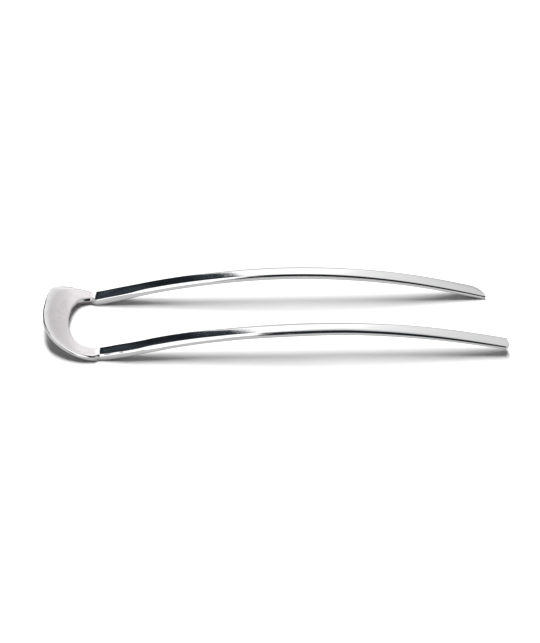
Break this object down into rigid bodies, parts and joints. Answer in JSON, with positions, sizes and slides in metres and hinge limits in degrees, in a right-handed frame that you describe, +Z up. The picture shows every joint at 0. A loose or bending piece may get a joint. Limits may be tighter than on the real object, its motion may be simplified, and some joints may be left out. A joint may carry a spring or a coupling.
{
  "type": "hairpin",
  "caption": "Two-prong hairpin of polished silver: a thin lifted head with a crease at each side and two flat prongs that arch over to blunt tips.",
  "frame": {"origin": "middle of the footprint on the surface that the pin lies on", "axes": "+X from the head towards the tips, +Y from the front prong towards the back prong, +Z up"},
  "size_m": [0.13, 0.0297, 0.0098],
  "materials": {
    "silver": "polished silver, satin on the head's top face and towards the tips"
  },
  "bodies": {
    "root": {"hairpin": "silver"}
  },
  "joints": []
}
